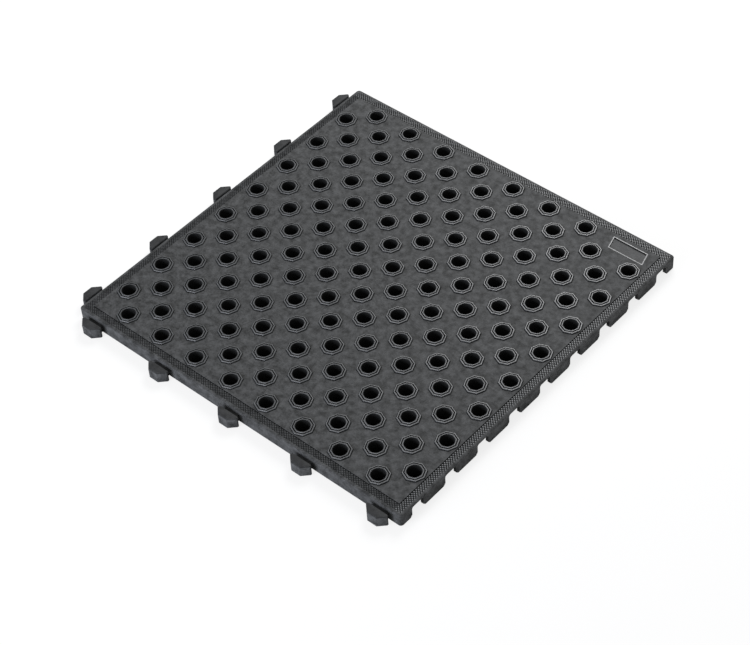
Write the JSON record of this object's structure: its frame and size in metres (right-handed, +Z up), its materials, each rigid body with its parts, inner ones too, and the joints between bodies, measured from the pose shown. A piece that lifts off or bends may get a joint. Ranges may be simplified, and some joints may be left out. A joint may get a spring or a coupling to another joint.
{
  "type": "interlocking anti-fatigue mat tile",
  "caption": "Square black rubber floor tile with octagonal collared drain holes, a knurled border band, pegs on two edges and sockets on the other two.",
  "frame": {"origin": "middle of the whole footprint, pegs included, at the underside", "axes": "+Z up out of the walking face; pegs on the -X and -Y edges, sockets on the +X and +Y edges"},
  "size_m": [0.5168, 0.5168, 0.02],
  "materials": {
    "rubber": "matte grained"
  },
  "bodies": {
    "root": {"mat_tile": "rubber"}
  },
  "joints": []
}
